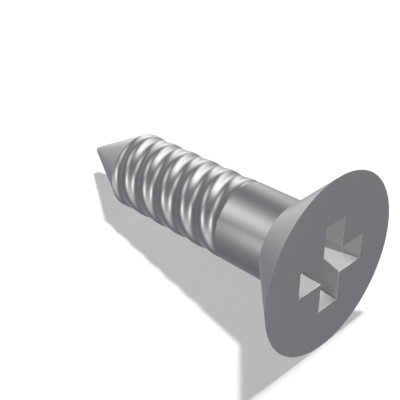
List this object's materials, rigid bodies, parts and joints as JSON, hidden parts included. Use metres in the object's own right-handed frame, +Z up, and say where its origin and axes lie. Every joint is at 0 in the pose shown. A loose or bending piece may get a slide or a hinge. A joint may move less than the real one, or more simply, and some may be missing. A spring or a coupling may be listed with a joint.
{
  "type": "countersunk self-tapping screw",
  "caption": "Countersunk self-tapping screw lying at rest, with a cross recess, plain shank, rounded multi-start thread and smooth cone point.",
  "frame": {"origin": "centre of the bounding box's base, on the surface that the screw lies on", "axes": "+Z up, +X from the tip to the head seen from above, +Y completes a right-handed set; the screw's own axis lies in the XZ plane and rises 10.77 degrees from the tip towards the head"},
  "size_m": [0.0196, 0.0104, 0.0102],
  "materials": {
    "steel": "satin"
  },
  "bodies": {
    "root": {"screw": "steel"}
  },
  "joints": []
}
